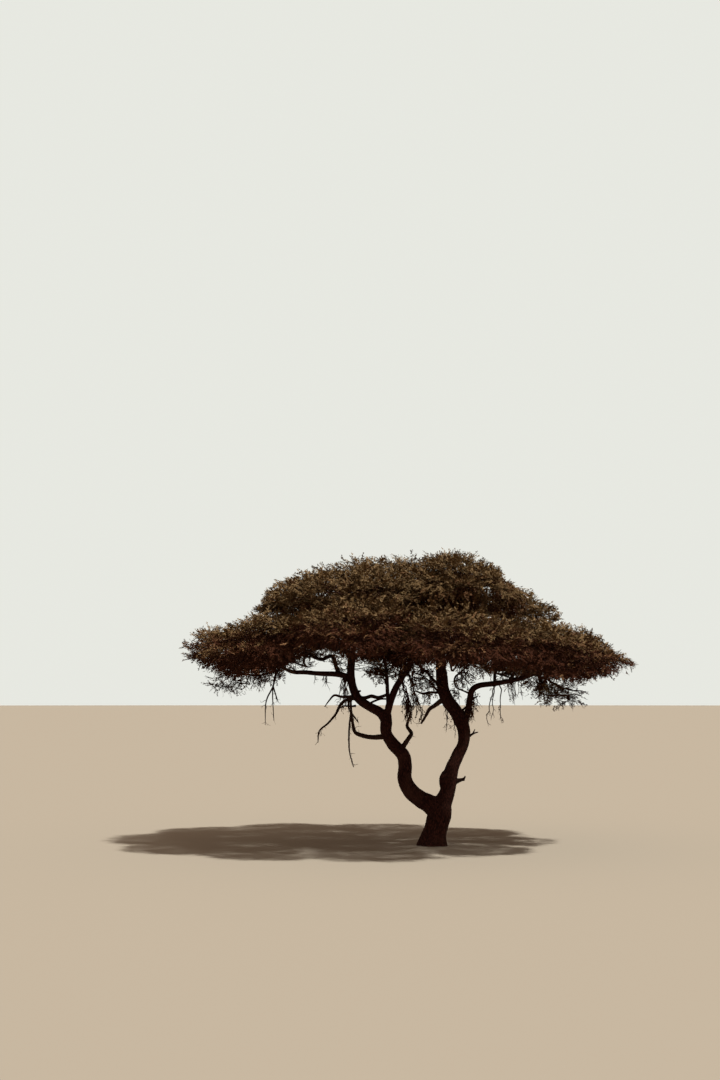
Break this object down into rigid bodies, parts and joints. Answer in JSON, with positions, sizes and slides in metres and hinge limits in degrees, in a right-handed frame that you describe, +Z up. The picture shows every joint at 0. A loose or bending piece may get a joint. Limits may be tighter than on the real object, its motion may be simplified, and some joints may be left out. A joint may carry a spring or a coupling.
{
  "type": "acacia tree",
  "caption": "Umbrella-crowned savanna acacia with a short leaning trunk, low fork, sinuous gnarled boughs, dead snags and a wide domed crown of fine foliage.",
  "frame": {"origin": "middle of the flat cut under the trunk, at ground level", "axes": "+Z up, +X along the crown's long axis to the side of the taller bough, +Y to the back of the tree"},
  "size_m": [9.1271, 8.2114, 5.8173],
  "materials": {
    "bark": "dark, fissured, matte bark",
    "dead_wood": "weathered, dry, matte wood",
    "foliage": "fine matte olive-brown leaves"
  },
  "bodies": {
    "root": {"bough_to_inner_1": "bark", "bough_to_inner_2": "bark", "bough_to_outer_10": "bark", "bough_to_outer_2": "bark", "bough_to_outer_3": "bark", "bough_to_outer_4": "bark", "bough_to_outer_7": "bark", "bough_to_outer_8": "bark", "bough_to_outer_9": "bark", "centre_droop": "bark", "cross_bough": "bark", "foliage_hanging_left": "foliage", "foliage_hanging_middle": "foliage", "foliage_hanging_right": "foliage", "foliage_inner_1": "foliage", "foliage_inner_2": "foliage", "foliage_inner_3": "foliage", "foliage_inner_4": "foliage", "foliage_inner_5": "foliage", "foliage_lower_centre": "foliage", "foliage_outer_1": "foliage", "foliage_outer_10": "foliage", "foliage_outer_2": "foliage", "foliage_outer_3": "foliage", "foliage_outer_4": "foliage", "foliage_outer_5": "foliage", "foliage_outer_6": "foliage", "foliage_outer_7": "foliage", "foliage_outer_8": "foliage", "foliage_outer_9": "foliage", "foliage_top_1": "foliage", "high_snag": "dead_wood", "left_bough_lower": "bark", "left_bough_upper": "bark", "left_curled_bough": "bark", "left_dangling_twigs": "dead_wood", "left_droop": "bark", "left_inner_bough": "bark", "left_long_bough": "bark", "left_stem_lower": "bark", "left_stem_upper": "bark", "left_upright": "bark", "low_snag": "dead_wood", "middle_droop": "bark", "middle_snag": "dead_wood", "right_bough": "bark", "right_cross_twig": "bark", "right_droop": "bark", "right_inner_snag": "dead_wood", "right_long_bough": "bark", "right_riser": "bark", "right_stem_lower": "bark", "right_stem_upper": "bark", "trunk": "bark"}
  },
  "joints": []
}
